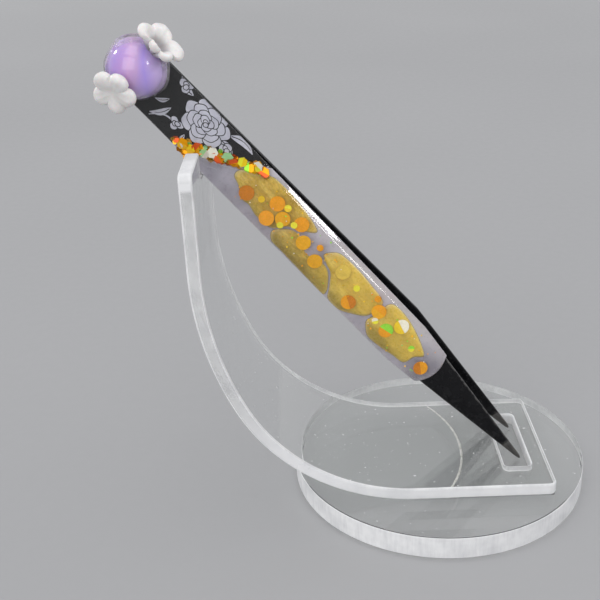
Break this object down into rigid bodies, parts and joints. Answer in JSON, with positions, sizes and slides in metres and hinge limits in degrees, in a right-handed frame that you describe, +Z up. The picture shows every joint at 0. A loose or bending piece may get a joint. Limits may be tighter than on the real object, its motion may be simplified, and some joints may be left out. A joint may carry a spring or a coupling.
{
  "type": "tweezers in a display stand",
  "caption": "Fine-pointed black spring tweezers with a glitter window, pearl and flowers on the front blade, leaning in a clear bent stand on a round base.",
  "frame": {"origin": "centre of the base disc's underside", "axes": "+Z up from the surface it stands on, +X from the arm towards the points of the tweezers, -Y towards the decorated face"},
  "size_m": [0.1062, 0.07, 0.1116],
  "materials": {
    "clear_acrylic": "clear acrylic, cut edges frosted",
    "cement": "clear cement film",
    "black_steel": "black lacquer on spring steel, points ground bare",
    "bare_steel": "bare steel",
    "print_black": "black film with a pale floral print",
    "clear_gel": "clear hard gel",
    "lilac_backing": "pale lilac gel",
    "gold_pigment": "gold pigment set in gel",
    "orange_flake": "holographic film flake",
    "yellow_flake": "holographic film flake",
    "holographic_chip": "holographic film chip",
    "lilac_pearl": "pearlescent",
    "white_flower": "satin white"
  },
  "bodies": {
    "stand": {"base_disc": "clear_acrylic", "stand_arm": "clear_acrylic", "bond_film": "cement"},
    "tweezers_head": {"head_spacer": "bare_steel"},
    "front_arm": {"front_blade": "black_steel", "print_film": "print_black", "print_topcoat": "clear_gel", "window_backing": "lilac_backing", "window_dome": "clear_gel", "gold_pool_1": "gold_pigment", "gold_pool_2": "gold_pigment", "gold_pool_3": "gold_pigment", "gold_pool_4": "gold_pigment", "glitter_disc_01": "orange_flake", "glitter_disc_02": "orange_flake", "glitter_disc_03": "orange_flake", "glitter_disc_04": "orange_flake", "glitter_disc_05": "orange_flake", "glitter_disc_06": "orange_flake", "glitter_disc_07": "orange_flake", "glitter_disc_08": "orange_flake", "glitter_disc_09": "orange_flake", "glitter_disc_10": "orange_flake", "glitter_disc_11": "orange_flake", "glitter_disc_12": "orange_flake", "glitter_disc_13": "orange_flake", "glitter_dot_1": "yellow_flake", "glitter_dot_2": "yellow_flake", "glitter_dot_3": "yellow_flake", "glitter_dot_4": "yellow_flake", "glitter_dot_5": "yellow_flake", "glitter_dot_6": "yellow_flake", "glitter_dot_7": "yellow_flake", "glitter_dot_8": "yellow_flake", "border_chip_01": "holographic_chip", "border_chip_02": "holographic_chip", "border_chip_03": "holographic_chip", "border_chip_04": "holographic_chip", "border_chip_05": "holographic_chip", "border_chip_06": "holographic_chip", "border_chip_07": "holographic_chip", "border_chip_08": "holographic_chip", "border_chip_09": "holographic_chip", "border_chip_10": "holographic_chip", "border_chip_11": "holographic_chip", "border_chip_12": "holographic_chip", "gel_bed": "clear_gel", "pearl": "lilac_pearl", "flower_lower": "white_flower", "flower_upper": "white_flower"},
    "rear_arm": {"rear_blade": "black_steel"}
  },
  "joints": [
    {"name": "lift", "type": "slide", "parent": "stand", "child": "tweezers_head", "axis": [0, 0, 1], "range_m": [0, 0.06]},
    {"name": "front_squeeze", "type": "hinge", "parent": "tweezers_head", "child": "front_arm", "pos_m": [-0.05887, 0, 0.09628], "axis": [0.7561, 0, 0.6544], "range_deg": [0, 3], "stiffness_Nm_per_rad": 1.6},
    {"name": "rear_squeeze", "type": "hinge", "parent": "tweezers_head", "child": "rear_arm", "pos_m": [-0.05887, 0, 0.09628], "axis": [-0.7561, 0, -0.6544], "range_deg": [0, 3], "stiffness_Nm_per_rad": 1.6}
  ],
  "couplings": [
    {"joint": "rear_squeeze", "follows": "front_squeeze", "ratio": 1}
  ]
}
